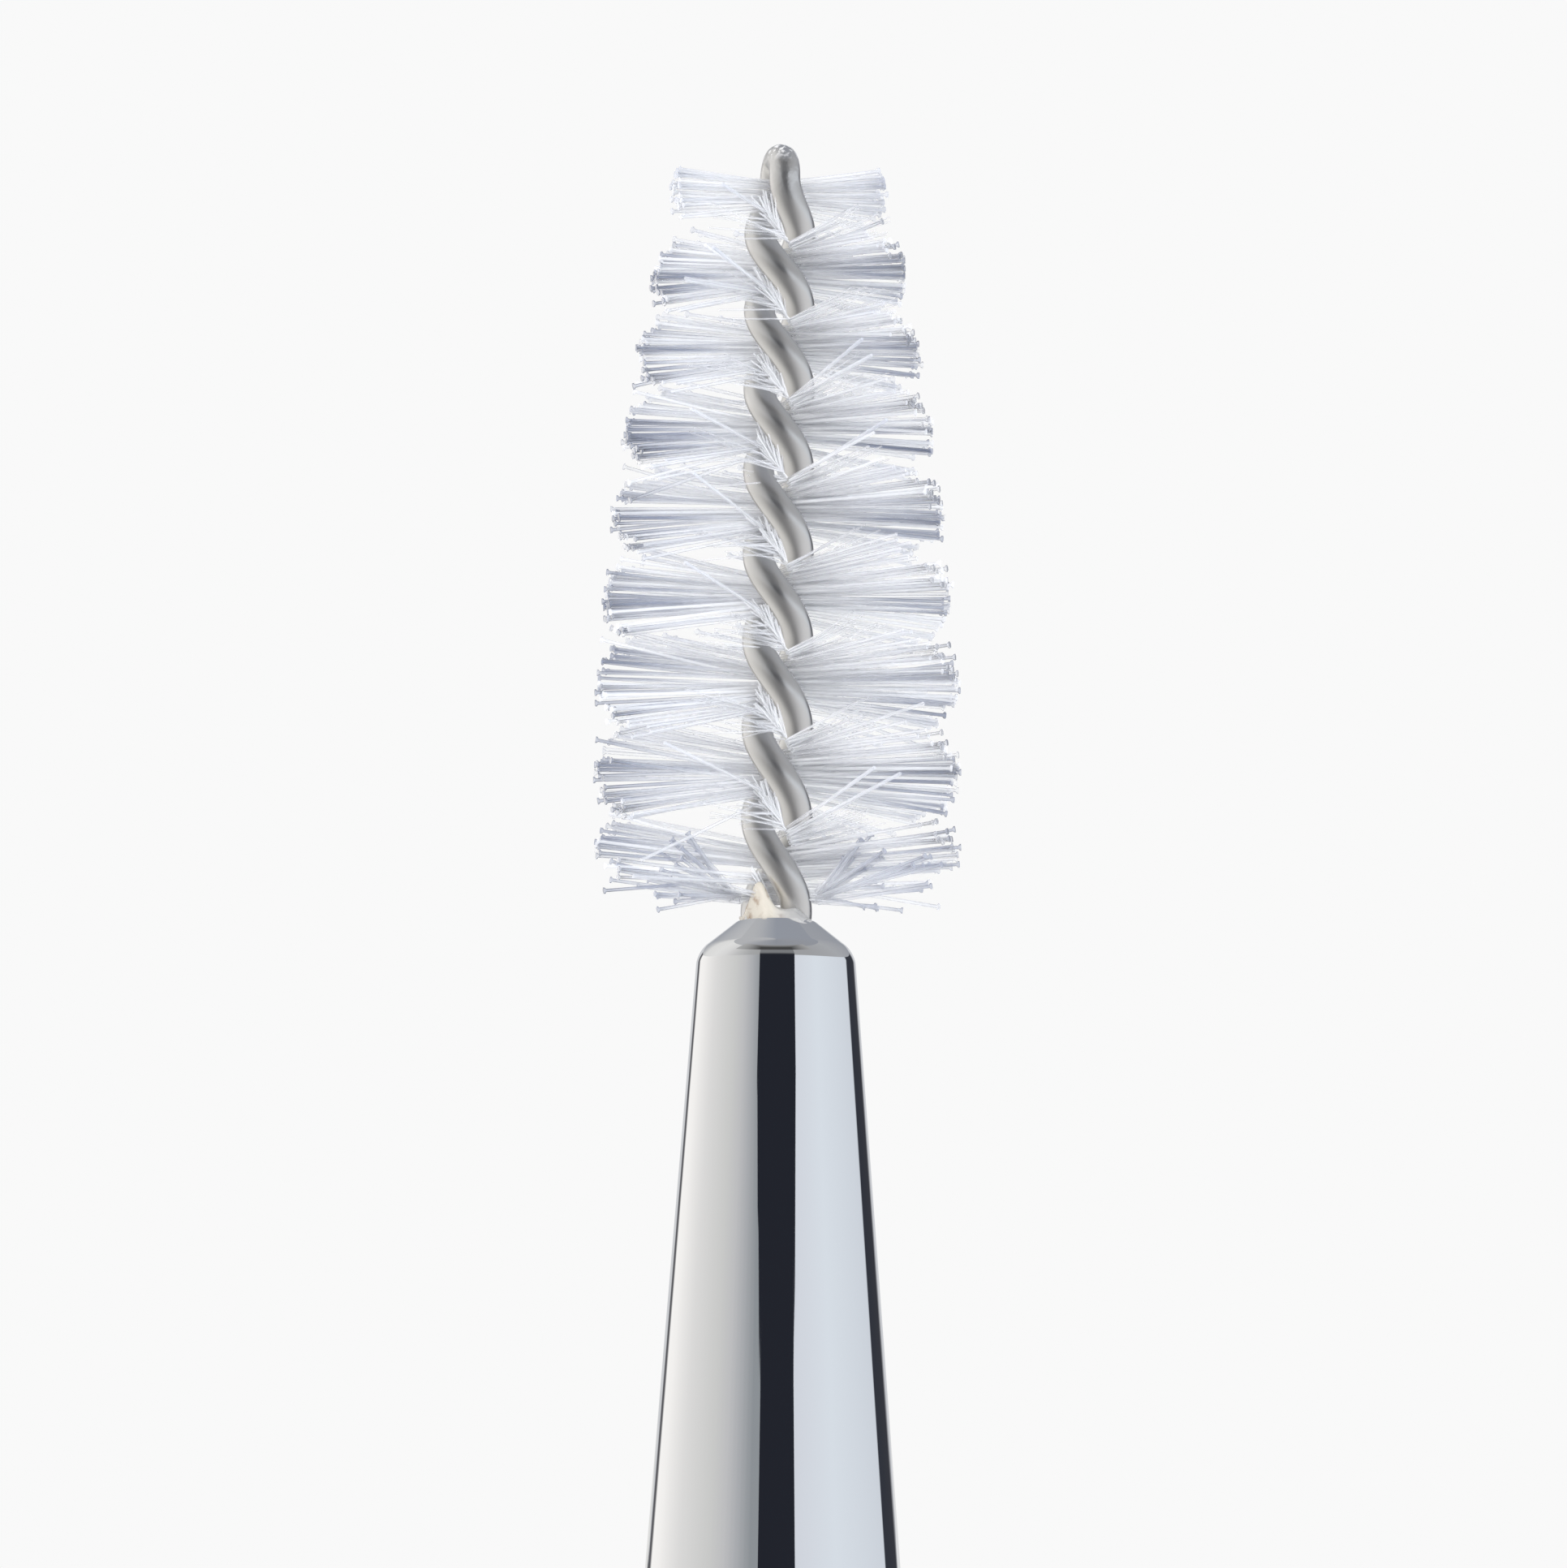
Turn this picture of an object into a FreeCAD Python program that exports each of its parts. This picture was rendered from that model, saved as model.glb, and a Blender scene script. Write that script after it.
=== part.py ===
"""Eyebrow brush: clear nylon filaments gripped in a twisted steel wire, on a slim chromed handle.

Millimetres. The brush stands on the handle's flat end: the origin is the centre of that end,
+Z runs up the brush to the tip of the wire, and -Y is the side that the photograph shows.
"""

import FreeCAD
import Part
import Sketcher

import math
import os

from FreeCAD import Placement, Rotation, Vector

doc = FreeCAD.newDocument("eyebrow_brush")

# Driving dimensions: the sheet's cells, in millimetres, degrees and counts
SIZES = {
    # handle, turned in one piece
    "handle_length": 103.1,  # flat end to the mouth of the bore
    "barrel_dia": 9.0,
    "nose_dia": 3.37,  # where the taper meets the nose, before the round
    "nose_height": 0.65,
    "taper_angle": 4.46,  # between the taper's side and the axis
    "taper_blend": 60.0,  # radius between the barrel and the taper
    "shoulder_round": 0.55,
    "mouth_lip": 0.06,  # flat ring round the bore
    "end_chamfer": 0.5,
    "bore_clear": 0.04,  # between the twisted wire and the bore, on the radius
    "bore_spare": 0.6,  # bore left empty under the wire's cut ends
    "drill_angle": 118.0,
    # wire, folded in two and twisted left-handed
    "wire_dia": 0.67,
    "wire_reach": 16.9,  # mouth of the bore to the tip of the fold
    "stem_depth": 5.0,  # length of wire inside the bore
    "wire_sides": 10,  # the round section is drawn with this many flats
    "half_turn": 1.667,  # length of the half turn that starts at first_front
    "half_turn_growth": 0.049,  # each half turn is longer than the one above it by this
    "first_front": 2.79,  # below the tip, where the second strand first passes the front
    "tip_fade": 1.0,  # length under the fold in which the twist builds up
    # filaments, straight lengths of nylon laid through the wire
    "filament_dia": 0.08,  # drawn as a square rod of this width
    "filament_clear": 0.01,  # to the next filament beside it, and to each strand
    "filament_columns": 2,
    "row_gap": 0.03,  # between a row of filaments and the row under it
    "top_row": 0.12,  # under the centre of the fold
    "bottom_row": 0.40,  # above the mouth of the bore
    "fan_tilt": 6.0,  # the outer columns lean up and down by this
    "sway_tilt": 4.0,  # how far the lean wanders along the brush
    # trimmed outline of the bristles, a bullet that is widest at its shoulder
    "trim_dia": 7.8,
    "trim_tip_dia": 4.3,
    "trim_shoulder": 12.0,  # the shoulder's depth under the tip
    # adhesive that holds the stem
    "adhesive_depth": 0.5,
    "adhesive_rise": 0.12,
}

sheet = doc.addObject("Spreadsheet::Sheet", "sizes")
for row, (name, value) in enumerate(SIZES.items(), start=1):
    sheet.set(f"A{row}", name)
    sheet.set(f"B{row}", str(value))
    sheet.setAlias(f"B{row}", name)
doc.recompute()


def size(name):
    """The sheet's value for one driving dimension."""
    return float(sheet.get(name))


# Expressions that more than one sub-part uses
GRIP_GAP = (
    "(sizes.filament_columns * sizes.filament_dia"
    " + (sizes.filament_columns + 1) * sizes.filament_clear)"
)
STRAND_RADIUS = f"({GRIP_GAP} / 2 + sizes.wire_dia / 2)"
CORE_RADIUS = f"({GRIP_GAP} / 2 + sizes.wire_dia)"
BORE_RADIUS = f"({CORE_RADIUS} + sizes.bore_clear)"

grip_gap = (
    size("filament_columns") * size("filament_dia")
    + (size("filament_columns") + 1) * size("filament_clear")
)
strand_radius = grip_gap / 2 + size("wire_dia") / 2
tip_z = size("handle_length") + size("wire_reach")
fold_z = tip_z - strand_radius - size("wire_dia") / 2  # centre of the fold


def origin_plane(body, role):
    """One of a body's own origin planes."""
    return next(f for f in body.Origin.OriginFeatures if f.Role == role)


def bind(sketch, index, name, expression):
    """Names a sketch's constraint and ties it to the sheet."""
    sketch.renameConstraint(index, name)
    sketch.setExpression(f"Constraints.{name}", expression)


def edges_at(feature, radius, z):
    """Names of the circular edges of a turned shape that lie at this radius and height."""
    return [
        f"Edge{i}"
        for i, edge in enumerate(feature.Shape.Edges, start=1)
        if isinstance(edge.Curve, Part.Circle)
        and abs(edge.Curve.Radius - radius) < 1e-4
        and abs(edge.Curve.Center.z - z) < 1e-4
    ]


def make_handle():
    """The handle: a turned bar with a long taper, a conical nose and a drilled bore for the wire."""
    body = doc.addObject("PartDesign::Body", "handle")
    profile = body.newObject("Sketcher::SketchObject", "handle_profile")
    profile.AttachmentSupport = [(origin_plane(body, "XZ_Plane"), "")]
    profile.MapMode = "FlatFace"

    # Half of the outline, from the centre of the flat end round to the centre of the nose
    barrel_r = size("barrel_dia") / 2
    nose_r = size("nose_dia") / 2
    blend_r = size("taper_blend")
    taper = math.radians(size("taper_angle"))
    shoulder_z = size("handle_length") - size("nose_height")
    corner_z = shoulder_z - (barrel_r - nose_r) / math.tan(taper)
    blend_z = corner_z - blend_r * math.tan(taper / 2)
    mouth_r = strand_radius + size("wire_dia") / 2 + size("bore_clear") + size("mouth_lip")
    blend_centre = Vector(barrel_r - blend_r, blend_z, 0)
    blend_top = blend_centre + Vector(math.cos(taper), math.sin(taper), 0) * blend_r
    outline = [
        Vector(0, 0, 0),
        Vector(barrel_r, 0, 0),
        Vector(barrel_r, blend_z, 0),
        blend_top,
        Vector(nose_r, shoulder_z, 0),
        Vector(mouth_r, size("handle_length"), 0),
        Vector(0, size("handle_length"), 0),
    ]
    base, side, blend, cone, nose, top, axis = range(len(outline))
    for i, start in enumerate(outline):
        end = outline[(i + 1) % len(outline)]
        if i == blend:
            circle = Part.Circle(blend_centre, Vector(0, 0, 1), blend_r)
            profile.addGeometry(Part.ArcOfCircle(circle, 0, taper))
        else:
            profile.addGeometry(Part.LineSegment(start, end))
    for i in (base, cone, nose, top, axis):
        following = (i + 1) % len(outline)
        profile.addConstraint(Sketcher.Constraint("Coincident", i, 2, following, 1))
    profile.addConstraint(Sketcher.Constraint("Tangent", side, 2, blend, 1))
    profile.addConstraint(Sketcher.Constraint("Tangent", blend, 2, cone, 1))
    profile.addConstraint(Sketcher.Constraint("Coincident", base, 1, -1, 1))
    profile.addConstraint(Sketcher.Constraint("Horizontal", base))
    profile.addConstraint(Sketcher.Constraint("Vertical", side))
    profile.addConstraint(Sketcher.Constraint("Horizontal", top))
    profile.addConstraint(Sketcher.Constraint("PointOnObject", axis, 1, -2))
    driven = [
        ("barrel_radius", "DistanceX", side, barrel_r, "sizes.barrel_dia / 2"),
        ("nose_radius", "DistanceX", nose, nose_r, "sizes.nose_dia / 2"),
        (
            "shoulder_height",
            "DistanceY",
            nose,
            shoulder_z,
            "sizes.handle_length - sizes.nose_height",
        ),
        ("mouth_radius", "DistanceX", top, mouth_r, f"{BORE_RADIUS} + sizes.mouth_lip"),
        ("mouth_height", "DistanceY", top, size("handle_length"), "sizes.handle_length"),
    ]
    for name, kind, line, value, expression in driven:
        index = profile.addConstraint(Sketcher.Constraint(kind, -1, 1, line, 1, value))
        bind(profile, index, name, expression)
    index = profile.addConstraint(Sketcher.Constraint("Radius", blend, blend_r))
    bind(profile, index, "blend_radius", "sizes.taper_blend")
    index = profile.addConstraint(
        Sketcher.Constraint("Angle", base, 1, cone, 1, math.pi / 2 + taper)
    )
    bind(profile, index, "cone_side", "90 + sizes.taper_angle")
    turned = body.newObject("PartDesign::Revolution", "turned_bar")
    turned.Profile = profile
    turned.ReferenceAxis = (profile, ["V_Axis"])
    turned.Angle = 360
    doc.recompute()

    shoulder = body.newObject("PartDesign::Fillet", "shoulder_round")
    shoulder.Base = (turned, edges_at(turned, nose_r, shoulder_z))
    shoulder.setExpression("Radius", "sizes.shoulder_round")
    doc.recompute()

    chamfer = body.newObject("PartDesign::Chamfer", "end_chamfer")
    chamfer.Base = (shoulder, edges_at(shoulder, barrel_r, 0))
    chamfer.setExpression("Size", "sizes.end_chamfer")
    doc.recompute()

    mouth = body.newObject("Sketcher::SketchObject", "bore_centre")
    mouth.AttachmentSupport = [(origin_plane(body, "XY_Plane"), "")]
    mouth.MapMode = "FlatFace"
    mouth.setExpression("AttachmentOffset.Base.z", "sizes.handle_length")
    mouth.addGeometry(Part.Circle(Vector(0, 0, 0), Vector(0, 0, 1), mouth_r))
    mouth.addConstraint(Sketcher.Constraint("Coincident", 0, 3, -1, 1))
    index = mouth.addConstraint(Sketcher.Constraint("Radius", 0, mouth_r))
    bind(mouth, index, "bore_radius", BORE_RADIUS)
    doc.recompute()
    bore = body.newObject("PartDesign::Hole", "wire_bore")
    bore.Profile = mouth
    doc.recompute()
    bore.setExpression("Diameter", f"2 * {BORE_RADIUS}")
    bore.DepthType = "Dimension"
    bore.setExpression("Depth", "sizes.stem_depth + sizes.bore_spare")
    bore.DrillPoint = "Angled"
    bore.setExpression("DrillPointAngle", "sizes.drill_angle")
    doc.recompute()
    return body


def half_turns_at(depth):
    """How many half turns the wire has made, counted from first_front, at this depth under the tip."""
    fade_end = tip_z - fold_z + size("tip_fade")
    first, growth = size("half_turn"), size("half_turn_growth")
    slow = min(depth, fade_end)
    turning = max(depth, fade_end) - size("first_front")
    count = (math.sqrt(first**2 + 2 * growth * turning) - first) / growth
    rate = 1 / (first + growth * count)
    return count - rate * (fade_end**2 - slow**2 - 2 * (tip_z - fold_z) * (fade_end - slow)) / (
        2 * size("tip_fade")
    )


def strand_angle(z):
    """Angle of the first strand about the axis at height z, in radians: -90 degrees is the front."""
    return math.pi / 2 + math.pi * half_turns_at(tip_z - z)


def make_wire():
    """One steel wire, folded in two at the tip and twisted, with both cut ends in the bore."""
    stem_z = size("handle_length") - size("stem_depth")
    steps = math.ceil((fold_z - stem_z) / (size("half_turn") / 6))
    heights = [stem_z + (fold_z - stem_z) * i / steps for i in range(steps)]

    def on_strand(z, side):
        out = side * strand_radius
        return Vector(out * math.cos(strand_angle(z)), out * math.sin(strand_angle(z)), z)

    fold_steps = 6
    fold = []
    for i in range(fold_steps + 1):
        bend = math.pi * i / fold_steps
        fold.append(
            Vector(
                strand_radius * math.cos(bend) * math.cos(strand_angle(fold_z)),
                strand_radius * math.cos(bend) * math.sin(strand_angle(fold_z)),
                fold_z + strand_radius * math.sin(bend),
            )
        )
    rising = [on_strand(z, 1) for z in heights]
    falling = [on_strand(z, -1) for z in reversed(heights)]
    points = rising + fold + falling
    centre_line = Part.BSplineCurve()
    centre_line.interpolate(points)
    spans = round(len(points) / 10)
    first, last = centre_line.FirstParameter, centre_line.LastParameter
    ends = [first + (last - first) * i / spans for i in range(spans + 1)]

    path = doc.addObject("Part::Feature", "wire_path")
    path.Shape = Part.Wire([centre_line.toShape(a, b) for a, b in zip(ends, ends[1:])])
    section = doc.addObject("Part::RegularPolygon", "wire_section")
    section.setExpression("Polygon", "sizes.wire_sides")
    section.setExpression("Circumradius", "sizes.wire_dia / 2")
    section.Placement = Placement(
        centre_line.value(first), Rotation(Vector(0, 0, 1), centre_line.tangent(first)[0])
    )
    wire = doc.addObject("Part::Sweep", "wire_core")
    wire.Sections = [section]
    wire.Spine = (path, [f"Edge{i + 1}" for i in range(spans)])
    wire.Solid = True
    wire.Frenet = False
    doc.recompute()
    return wire


def trim_radius(z):
    """Radius of the trimmed bristles at height z: full below the shoulder, easing in to the tip."""
    above = (z - (tip_z - size("trim_shoulder"))) / size("trim_shoulder")
    full, tip = size("trim_dia") / 2, size("trim_tip_dia") / 2
    return full - (full - tip) * max(above, 0) ** 1.5


def filament(z, column):
    """One straight filament laid through the wire at height z and trimmed to the outline."""
    along = strand_angle(z) + math.pi / 2
    sway = 0.7 * math.sin(1.7 * along) + 0.3 * math.sin(5.3 * along)
    lean = math.radians(size("fan_tilt") * column + size("sway_tilt") * sway)
    ahead = Vector(
        math.cos(along) * math.cos(lean), math.sin(along) * math.cos(lean), math.sin(lean)
    )
    beside = Vector(-math.sin(along), math.cos(along), 0)
    up = ahead.cross(beside)
    spacing = size("filament_dia") + size("filament_clear")
    middle = Vector(0, 0, z) + beside * (column * spacing / 2)

    def reach(side):
        """Distance from the middle to the trimmed outline, towards one end."""
        radius = trim_radius(z)
        for _ in range(3):
            radius = trim_radius(z + side * radius * math.tan(lean))
        return side * radius / math.cos(lean)

    half = size("filament_dia") / 2
    start = middle + ahead * reach(-1)
    corners = [
        start + beside * (half * a) + up * (half * b)
        for a, b in ((-1, -1), (1, -1), (1, 1), (-1, 1), (-1, -1))
    ]
    return Part.Face(Part.makePolygon(corners)).extrude(ahead * (reach(1) - reach(-1)))


def make_bristles():
    """All the filaments: row under row, turning with the gap between the two strands."""
    top = fold_z - size("top_row")
    bottom = size("handle_length") + size("bottom_row")
    row_step = size("filament_dia") + size("row_gap")
    rows = int((top - bottom) / row_step) + 1
    columns = int(size("filament_columns"))
    rods = []
    for row in range(rows):
        for k in range(columns):
            rods.append(filament(top - row * row_step, 2 * k - (columns - 1)))
    bristles = doc.addObject("Part::Feature", "bristles")
    bristles.Shape = Part.makeCompound(rods)
    return bristles


def make_adhesive(wire):
    """Cured adhesive that fills the top of the bore round the wire and stands up in a low ring."""
    plug = doc.addObject("Part::Cylinder", "adhesive_plug")
    plug.setExpression("Radius", BORE_RADIUS)
    plug.setExpression("Height", "sizes.adhesive_depth")
    plug.setExpression("Placement.Base.z", "sizes.handle_length - sizes.adhesive_depth")
    ring = doc.addObject("Part::Cone", "adhesive_ring")
    ring.setExpression("Radius1", BORE_RADIUS)
    ring.setExpression("Radius2", f"{BORE_RADIUS} - sizes.adhesive_rise")
    ring.setExpression("Height", "sizes.adhesive_rise")
    ring.setExpression("Placement.Base.z", "sizes.handle_length")
    filling = doc.addObject("Part::Fuse", "adhesive_filling")
    filling.Base = plug
    filling.Tool = ring
    adhesive = doc.addObject("Part::Cut", "adhesive")
    adhesive.Base = filling
    adhesive.Tool = wire
    doc.recompute()
    return adhesive


handle = make_handle()
wire_core = make_wire()
bristles = make_bristles()
adhesive = make_adhesive(wire_core)
doc.recompute()

faults = [o.Label for o in doc.Objects if {"Invalid", "Error"} & set(o.State)]
if faults:
    raise RuntimeError(f"these objects failed: {faults}")

os.makedirs("parts", exist_ok=True)
for part in (handle, wire_core, bristles, adhesive):
    shape = part.Shape
    if shape.isNull() or not shape.isValid():
        raise RuntimeError(f"{part.Label} has no valid shape")
    shape.exportStep(f"parts/{part.Label}.step")
    print(f"{part.Label}: {len(shape.Solids)} solids, {shape.Volume:.4f} mm3")
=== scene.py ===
"""An eyebrow brush on its handle's flat end in a pale studio, seen close up from the front.

Metres throughout. The brush's axis is Z, and the camera looks at it along +Y.
"""

import math
import random

import bmesh
import bpy
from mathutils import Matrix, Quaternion, Vector, noise


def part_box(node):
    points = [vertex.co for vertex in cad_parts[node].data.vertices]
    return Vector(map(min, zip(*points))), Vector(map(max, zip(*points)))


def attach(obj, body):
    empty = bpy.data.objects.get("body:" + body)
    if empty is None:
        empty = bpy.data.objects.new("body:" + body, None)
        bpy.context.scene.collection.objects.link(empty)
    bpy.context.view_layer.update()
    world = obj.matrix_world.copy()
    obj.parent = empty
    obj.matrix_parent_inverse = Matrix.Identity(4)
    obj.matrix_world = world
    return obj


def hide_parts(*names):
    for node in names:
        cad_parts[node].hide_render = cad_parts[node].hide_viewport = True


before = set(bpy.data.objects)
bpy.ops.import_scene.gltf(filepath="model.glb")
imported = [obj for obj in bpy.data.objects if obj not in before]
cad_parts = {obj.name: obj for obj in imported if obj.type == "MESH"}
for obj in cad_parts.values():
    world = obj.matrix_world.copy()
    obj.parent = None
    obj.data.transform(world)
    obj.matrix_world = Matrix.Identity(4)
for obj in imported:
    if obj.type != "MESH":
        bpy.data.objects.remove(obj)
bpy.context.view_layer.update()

# Handle
# One bar of metal, turned with a long taper and a coned nose, then polished and chrome plated.
# Its flat end is faced off, and the hole for the wire is drilled down the axis from the nose.
mouth_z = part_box("handle")[1].z
barrel_r = 0.0045
nose_r = 0.001685
nose_height = 0.00065
mouth_r = 0.000865
bore_r = 0.000805
bore_depth = 0.0056
taper = math.radians(4.46)
shoulder_z = mouth_z - nose_height
taper_foot_z = shoulder_z - (barrel_r - nose_r) / math.tan(taper)


def start_piece():
    """Leaves edit mode and deselects everything, ready for a new primitive."""
    if bpy.context.object and bpy.context.object.mode != "OBJECT":
        bpy.ops.object.mode_set(mode="OBJECT")
    bpy.ops.object.select_all(action="DESELECT")


def extrude_rings(rings):
    """Pulls the selected face from the first ring (height, radius) through the others."""
    for (height, radius), (next_height, next_radius) in zip(rings, rings[1:]):
        step = (0, 0, next_height - height)
        bpy.ops.mesh.extrude_region_move(TRANSFORM_OT_translate={"value": step})
        scale = next_radius / radius
        bpy.ops.transform.resize(value=(scale, scale, 1))


def select_ring(obj, height, radius):
    """Selects the edges of one turned ring."""
    bpy.ops.mesh.select_all(action="DESELECT")
    bpy.ops.mesh.select_mode(type="EDGE")
    mesh = bmesh.from_edit_mesh(obj.data)
    for edge in mesh.edges:
        on_ring = [
            abs(v.co.z - height) < 1e-6 and abs(v.co.xy.length - radius) < 1e-6 for v in edge.verts
        ]
        edge.select_set(all(on_ring))
    bmesh.update_edit_mesh(obj.data)


start_piece()
bpy.ops.mesh.primitive_circle_add(vertices=160, radius=barrel_r, fill_type="NGON")
chromed_handle = bpy.context.object
chromed_handle.name = "chromed_handle"
bpy.ops.object.mode_set(mode="EDIT")
outside = [(0.0, barrel_r), (taper_foot_z, barrel_r), (shoulder_z, nose_r), (mouth_z, mouth_r)]
bore_floor = mouth_z - bore_depth
bore = [(mouth_z, bore_r), (bore_floor, bore_r), (bore_floor - 0.0004, bore_r * 0.05)]
extrude_rings(outside + bore)
select_ring(chromed_handle, taper_foot_z, barrel_r)
bpy.ops.mesh.bevel(offset=0.00234, segments=10, affect="EDGES")
select_ring(chromed_handle, shoulder_z, nose_r)
bpy.ops.mesh.bevel(offset=0.00025, segments=12, affect="EDGES")
select_ring(chromed_handle, 0, barrel_r)
bpy.ops.mesh.bevel(offset=0.0005, segments=1, affect="EDGES")
bpy.ops.mesh.select_all(action="SELECT")
for cut in (0.0006, taper_foot_z - 0.0027, taper_foot_z + 0.0027, shoulder_z - 0.0003):
    bpy.ops.mesh.bisect(plane_co=(0, 0, cut), plane_no=(0, 0, 1))
    bpy.ops.mesh.select_all(action="SELECT")
bpy.ops.mesh.normals_make_consistent(inside=False)
bpy.ops.object.mode_set(mode="OBJECT")
bpy.ops.object.shade_smooth_by_angle(angle=math.radians(25))


def material(name, **values):
    """A new material with its Principled shader set to these plain values."""
    made = bpy.data.materials.new(name)
    made.use_nodes = True
    shader = made.node_tree.nodes["Principled BSDF"]
    for key, value in values.items():
        shader.inputs[key.replace("_", " ")].default_value = value
    return made


def ramp(nodes, low, high, low_value, high_value):
    """A Map Range node from low..high to low_value..high_value."""
    made = nodes.new("ShaderNodeMapRange")
    made.inputs["From Min"].default_value = low
    made.inputs["From Max"].default_value = high
    made.inputs["To Min"].default_value = low_value
    made.inputs["To Max"].default_value = high_value
    return made


def new_group(name, inputs, outputs):
    """A shader node group with named number inputs and outputs, and its own nodes and links."""
    group = bpy.data.node_groups.new(name, "ShaderNodeTree")
    for key, value in inputs.items():
        socket = group.interface.new_socket(key, in_out="INPUT", socket_type="NodeSocketFloat")
        socket.default_value = value
    for key, kind in outputs.items():
        group.interface.new_socket(key, in_out="OUTPUT", socket_type=kind)
    return group, group.nodes.new("NodeGroupInput"), group.nodes.new("NodeGroupOutput")


# Handling marks, on the chrome and on the wire: soft smudges in the gloss, at a chosen size
smudges, smudge_in, smudge_out = new_group(
    "handling_marks",
    {"Scale": 400.0, "Least": 0.02, "Most": 0.06},
    {"Roughness": "NodeSocketFloat"},
)
place = smudges.nodes.new("ShaderNodeTexCoord")
cloud = smudges.nodes.new("ShaderNodeTexNoise")
cloud.inputs["Detail"].default_value = 5.0
spread = smudges.nodes.new("ShaderNodeMapRange")
spread.inputs["From Min"].default_value = 0.4
spread.inputs["From Max"].default_value = 0.75
smudges.links.new(place.outputs["Object"], cloud.inputs["Vector"])
smudges.links.new(smudge_in.outputs["Scale"], cloud.inputs["Scale"])
smudges.links.new(cloud.outputs["Fac"], spread.inputs["Value"])
smudges.links.new(smudge_in.outputs["Least"], spread.inputs["To Min"])
smudges.links.new(smudge_in.outputs["Most"], spread.inputs["To Max"])
smudges.links.new(spread.outputs["Result"], smudge_out.inputs["Roughness"])

bright_chrome = material("bright_chrome", Metallic=1.0, Base_Color=(0.93, 0.935, 0.94, 1.0))
nodes, links = bright_chrome.node_tree.nodes, bright_chrome.node_tree.links
marks = nodes.new("ShaderNodeGroup")
marks.node_tree = smudges
marks.inputs["Scale"].default_value = 260.0
marks.inputs["Least"].default_value = 0.012
marks.inputs["Most"].default_value = 0.045
links.new(marks.outputs["Roughness"], nodes["Principled BSDF"].inputs["Roughness"])
chromed_handle.data.materials.append(bright_chrome)
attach(chromed_handle, "root")
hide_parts("handle")


# Wire
# One steel wire, folded in two over the filaments and twisted left-handed, so that it grips them.
# Both cut ends go down the bore. Each half turn is a little longer than the one above it.
tip_z = 0.12
wire_r = 0.000335
strand_r = 0.00043
fold_z = tip_z - strand_r - wire_r
stem_depth = 0.005
stem_z = mouth_z - stem_depth
half_turn = 0.001667
half_turn_growth = 0.000049
first_front = 0.00279
tip_fade = 0.001


def half_turns(z):
    """Half turns of the wire at height z, counted from where the second strand passes the front."""
    fold_depth = tip_z - fold_z
    fade_end = fold_depth + tip_fade
    slow = min(tip_z - z, fade_end)
    turning = max(tip_z - z, fade_end) - first_front
    count = math.sqrt(half_turn**2 + 2 * half_turn_growth * turning) - half_turn
    count /= half_turn_growth
    rate = 1 / (half_turn + half_turn_growth * count)
    lag = fade_end**2 - slow**2 - 2 * fold_depth * (fade_end - slow)
    return count - rate * lag / (2 * tip_fade)


def strand_angle(z):
    """Angle of the first strand about the axis at height z: -90 degrees is the front."""
    return math.pi / 2 + math.pi * half_turns(z)


def strand_point(z, side):
    """Centre of one strand, side 1 or -1, at height z."""
    angle = strand_angle(z)
    out = side * strand_r
    return Vector((out * math.cos(angle), out * math.sin(angle), z))


line = []
steps = 420
bend_steps = 24
for i in range(steps):
    line.append(strand_point(stem_z + (fold_z - stem_z) * i / steps, 1))
for i in range(bend_steps + 1):
    bend = math.pi * i / bend_steps
    point = strand_point(fold_z, math.cos(bend))
    line.append(point + Vector((0, 0, strand_r * math.sin(bend))))
for i in range(steps - 1, -1, -1):
    line.append(strand_point(stem_z + (fold_z - stem_z) * i / steps, -1))

start_piece()
bpy.ops.curve.primitive_nurbs_path_add()
twisted_wire = bpy.context.object
twisted_wire.name = "twisted_wire"
twisted_wire.data.splines.clear()
run = twisted_wire.data.splines.new("POLY")
run.points.add(len(line) - 1)
for point, co in zip(run.points, line):
    point.co = (*co, 1)
twisted_wire.data.bevel_depth = wire_r
twisted_wire.data.bevel_resolution = 10
twisted_wire.data.use_fill_caps = True
bpy.ops.object.convert(target="MESH")
bpy.ops.object.shade_smooth_by_angle(angle=math.radians(50))

drawn_steel = material("drawn_steel", Metallic=1.0, Base_Color=(0.88, 0.87, 0.855, 1.0))
nodes, links = drawn_steel.node_tree.nodes, drawn_steel.node_tree.links
marks = nodes.new("ShaderNodeGroup")
marks.node_tree = smudges
marks.inputs["Scale"].default_value = 2500.0
marks.inputs["Least"].default_value = 0.32
marks.inputs["Most"].default_value = 0.4
place = nodes.new("ShaderNodeTexCoord")
grain = nodes.new("ShaderNodeTexNoise")
grain.inputs["Scale"].default_value = 9000.0
grain.inputs["Detail"].default_value = 3.0
split = nodes.new("ShaderNodeSeparateXYZ")
near_fold = ramp(nodes, tip_z - 0.0016, tip_z - 0.0007, 0.05, 0.5)
bump = nodes.new("ShaderNodeBump")
bump.inputs["Distance"].default_value = 0.00002
links.new(place.outputs["Object"], grain.inputs["Vector"])
links.new(place.outputs["Object"], split.inputs["Vector"])
links.new(split.outputs["Z"], near_fold.inputs["Value"])
links.new(near_fold.outputs["Result"], bump.inputs["Strength"])
links.new(grain.outputs["Fac"], bump.inputs["Height"])
links.new(bump.outputs["Normal"], nodes["Principled BSDF"].inputs["Normal"])
crown = ramp(nodes, tip_z - 0.00045, tip_z - 0.0001, 0.0, 1.0)
pits = ramp(nodes, 0.5, 0.6, 0.0, 0.75)
frosted = nodes.new("ShaderNodeMath")
frosted.operation = "MULTIPLY"
polish = nodes.new("ShaderNodeMath")
polish.operation = "SUBTRACT"
polish.inputs[0].default_value = 1.0
links.new(split.outputs["Z"], crown.inputs["Value"])
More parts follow.
